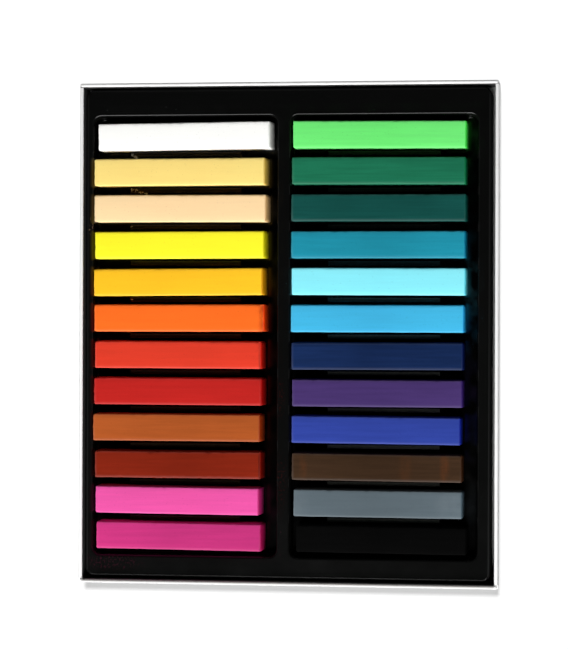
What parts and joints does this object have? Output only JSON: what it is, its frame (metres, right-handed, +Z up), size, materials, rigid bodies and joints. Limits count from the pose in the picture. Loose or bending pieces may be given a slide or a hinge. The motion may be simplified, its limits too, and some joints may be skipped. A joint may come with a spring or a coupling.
{
  "type": "pastel drawer box",
  "caption": "Shallow white board tray with a black formed insert that holds columns of loose square pastel sticks in assorted colours, kept apart by low ribs.",
  "frame": {"origin": "centre of the tray's underside, on the surface it stands on", "axes": "+X runs along the sticks towards the right-hand column, +Y runs across the sticks towards the wide deck margin, along the tray's longer side, +Z is up"},
  "size_m": [0.1578, 0.1884, 0.016],
  "materials": {
    "white_board": "smooth white coated folding board",
    "black_sheet": "thin black vacuum-formed sheet, glossy",
    "pastel_white": "dry matt pressed pigment",
    "pastel_sand": "dry matt pressed pigment",
    "pastel_peach": "dry matt pressed pigment",
    "pastel_yellow": "dry matt pressed pigment",
    "pastel_golden_yellow": "dry matt pressed pigment",
    "pastel_orange": "dry matt pressed pigment",
    "pastel_vermilion": "dry matt pressed pigment",
    "pastel_red": "dry matt pressed pigment",
    "pastel_ochre": "dry matt pressed pigment",
    "pastel_maroon": "dry matt pressed pigment",
    "pastel_pink": "dry matt pressed pigment",
    "pastel_magenta": "dry matt pressed pigment",
    "pastel_green": "dry matt pressed pigment",
    "pastel_viridian": "dry matt pressed pigment",
    "pastel_pine": "dry matt pressed pigment",
    "pastel_teal": "dry matt pressed pigment",
    "pastel_cyan": "dry matt pressed pigment",
    "pastel_sky_blue": "dry matt pressed pigment",
    "pastel_navy": "dry matt pressed pigment",
    "pastel_violet": "dry matt pressed pigment",
    "pastel_ultramarine": "dry matt pressed pigment",
    "pastel_umber": "dry matt pressed pigment",
    "pastel_grey": "dry matt pressed pigment",
    "pastel_black": "dry matt pressed pigment"
  },
  "bodies": {
    "tray": {"carton_tray": "white_board"},
    "insert": {"insert": "black_sheet"},
    "stick_white": {"stick_white": "pastel_white"},
    "stick_sand": {"stick_sand": "pastel_sand"},
    "stick_peach": {"stick_peach": "pastel_peach"},
    "stick_yellow": {"stick_yellow": "pastel_yellow"},
    "stick_golden_yellow": {"stick_golden_yellow": "pastel_golden_yellow"},
    "stick_orange": {"stick_orange": "pastel_orange"},
    "stick_vermilion": {"stick_vermilion": "pastel_vermilion"},
    "stick_red": {"stick_red": "pastel_red"},
    "stick_ochre": {"stick_ochre": "pastel_ochre"},
    "stick_maroon": {"stick_maroon": "pastel_maroon"},
    "stick_pink": {"stick_pink": "pastel_pink"},
    "stick_magenta": {"stick_magenta": "pastel_magenta"},
    "stick_green": {"stick_green": "pastel_green"},
    "stick_viridian": {"stick_viridian": "pastel_viridian"},
    "stick_pine": {"stick_pine": "pastel_pine"},
    "stick_teal": {"stick_teal": "pastel_teal"},
    "stick_cyan": {"stick_cyan": "pastel_cyan"},
    "stick_sky_blue": {"stick_sky_blue": "pastel_sky_blue"},
    "stick_navy": {"stick_navy": "pastel_navy"},
    "stick_violet": {"stick_violet": "pastel_violet"},
    "stick_ultramarine": {"stick_ultramarine": "pastel_ultramarine"},
    "stick_umber": {"stick_umber": "pastel_umber"},
    "stick_grey": {"stick_grey": "pastel_grey"},
    "stick_black": {"stick_black": "pastel_black"}
  },
  "joints": [
    {"name": "insert_lift", "type": "slide", "parent": "tray", "child": "insert", "axis": [0, 0, 1], "range_m": [0, 0.03]},
    {"name": "white_lift", "type": "slide", "parent": "insert", "child": "stick_white", "axis": [0, 0, 1], "range_m": [0, 0.03]},
    {"name": "sand_lift", "type": "slide", "parent": "insert", "child": "stick_sand", "axis": [0, 0, 1], "range_m": [0, 0.03]},
    {"name": "peach_lift", "type": "slide", "parent": "insert", "child": "stick_peach", "axis": [0, 0, 1], "range_m": [0, 0.03]},
    {"name": "yellow_lift", "type": "slide", "parent": "insert", "child": "stick_yellow", "axis": [0, 0, 1], "range_m": [0, 0.03]},
    {"name": "golden_yellow_lift", "type": "slide", "parent": "insert", "child": "stick_golden_yellow", "axis": [0, 0, 1], "range_m": [0, 0.03]},
    {"name": "orange_lift", "type": "slide", "parent": "insert", "child": "stick_orange", "axis": [0, 0, 1], "range_m": [0, 0.03]},
    {"name": "vermilion_lift", "type": "slide", "parent": "insert", "child": "stick_vermilion", "axis": [0, 0, 1], "range_m": [0, 0.03]},
    {"name": "red_lift", "type": "slide", "parent": "insert", "child": "stick_red", "axis": [0, 0, 1], "range_m": [0, 0.03]},
    {"name": "ochre_lift", "type": "slide", "parent": "insert", "child": "stick_ochre", "axis": [0, 0, 1], "range_m": [0, 0.03]},
    {"name": "maroon_lift", "type": "slide", "parent": "insert", "child": "stick_maroon", "axis": [0, 0, 1], "range_m": [0, 0.03]},
    {"name": "pink_lift", "type": "slide", "parent": "insert", "child": "stick_pink", "axis": [0, 0, 1], "range_m": [0, 0.03]},
    {"name": "magenta_lift", "type": "slide", "parent": "insert", "child": "stick_magenta", "axis": [0, 0, 1], "range_m": [0, 0.03]},
    {"name": "green_lift", "type": "slide", "parent": "insert", "child": "stick_green", "axis": [0, 0, 1], "range_m": [0, 0.03]},
    {"name": "viridian_lift", "type": "slide", "parent": "insert", "child": "stick_viridian", "axis": [0, 0, 1], "range_m": [0, 0.03]},
    {"name": "pine_lift", "type": "slide", "parent": "insert", "child": "stick_pine", "axis": [0, 0, 1], "range_m": [0, 0.03]},
    {"name": "teal_lift", "type": "slide", "parent": "insert", "child": "stick_teal", "axis": [0, 0, 1], "range_m": [0, 0.03]},
    {"name": "cyan_lift", "type": "slide", "parent": "insert", "child": "stick_cyan", "axis": [0, 0, 1], "range_m": [0, 0.03]},
    {"name": "sky_blue_lift", "type": "slide", "parent": "insert", "child": "stick_sky_blue", "axis": [0, 0, 1], "range_m": [0, 0.03]},
    {"name": "navy_lift", "type": "slide", "parent": "insert", "child": "stick_navy", "axis": [0, 0, 1], "range_m": [0, 0.03]},
    {"name": "violet_lift", "type": "slide", "parent": "insert", "child": "stick_violet", "axis": [0, 0, 1], "range_m": [0, 0.03]},
    {"name": "ultramarine_lift", "type": "slide", "parent": "insert", "child": "stick_ultramarine", "axis": [0, 0, 1], "range_m": [0, 0.03]},
    {"name": "umber_lift", "type": "slide", "parent": "insert", "child": "stick_umber", "axis": [0, 0, 1], "range_m": [0, 0.03]},
    {"name": "grey_lift", "type": "slide", "parent": "insert", "child": "stick_grey", "axis": [0, 0, 1], "range_m": [0, 0.03]},
    {"name": "black_lift", "type": "slide", "parent": "insert", "child": "stick_black", "axis": [0, 0, 1], "range_m": [0, 0.03]}
  ]
}
